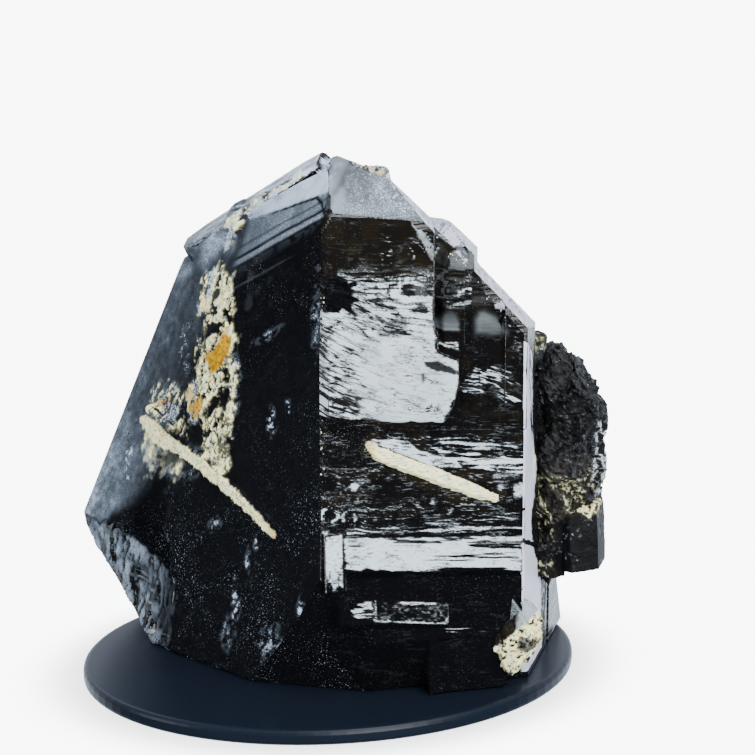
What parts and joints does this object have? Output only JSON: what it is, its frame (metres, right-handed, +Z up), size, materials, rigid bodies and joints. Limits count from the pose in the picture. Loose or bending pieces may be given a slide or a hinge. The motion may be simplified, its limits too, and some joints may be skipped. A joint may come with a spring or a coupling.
{
  "type": "morion quartz crystal on a display stand",
  "caption": "Near-black smoky quartz crystal with stepped and striated faces, side growths and pale mineral bars, resting on a low oval stand.",
  "frame": {"origin": "centre of the stand's flat underside", "axes": "+Z up, +Y away from the viewer of the specimen's best side, +X to that viewer's right"},
  "size_m": [0.0991, 0.0758, 0.1048],
  "materials": {
    "morion": "near-black natural quartz, glossy on smooth faces, frosted and specked with pale crust elsewhere",
    "stand": "smooth black, semi-gloss"
  },
  "bodies": {
    "root": {"morion_crystal": "morion", "display_stand": "stand"}
  },
  "joints": []
}
